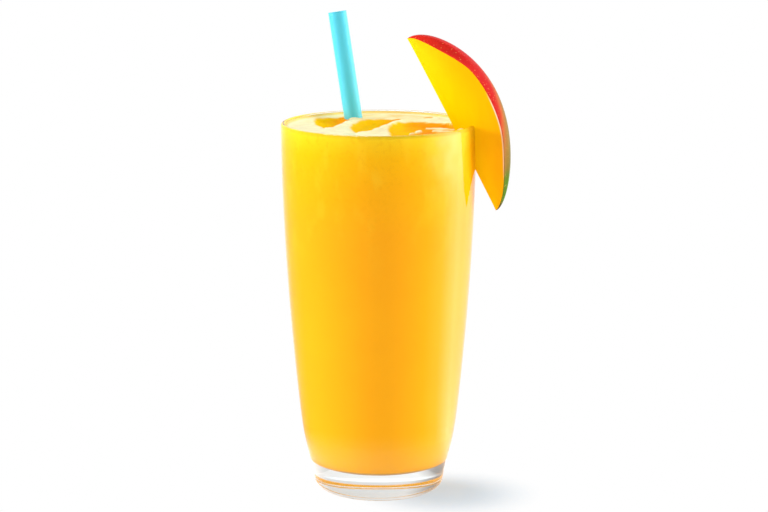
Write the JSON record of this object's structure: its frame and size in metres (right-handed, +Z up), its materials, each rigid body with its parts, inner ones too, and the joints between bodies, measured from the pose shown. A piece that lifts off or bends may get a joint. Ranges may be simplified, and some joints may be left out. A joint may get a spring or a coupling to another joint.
{
  "type": "mango smoothie",
  "caption": "A tall clear tumbler filled to the brim with thick mango smoothie, with a leaning drinking straw and a mango wedge hung on the rim.",
  "frame": {"origin": "the centre of the tumbler's foot, on the table", "axes": "+Z is up; the mango wedge hangs on the +X side of the rim; the straw stands towards +Y, at the back"},
  "size_m": [0.0973, 0.0832, 0.2048],
  "materials": {
    "glass": "clear, thick and polished, with a heavy base",
    "smoothie": "thick opaque mango puree, wet on top",
    "straw": "smooth light blue plastic",
    "mango": "moist yellow flesh, with a skin that goes from red to green"
  },
  "bodies": {
    "root": {"glass": "glass", "smoothie": "smoothie", "straw": "straw", "mango_wedge": "mango"}
  },
  "joints": []
}
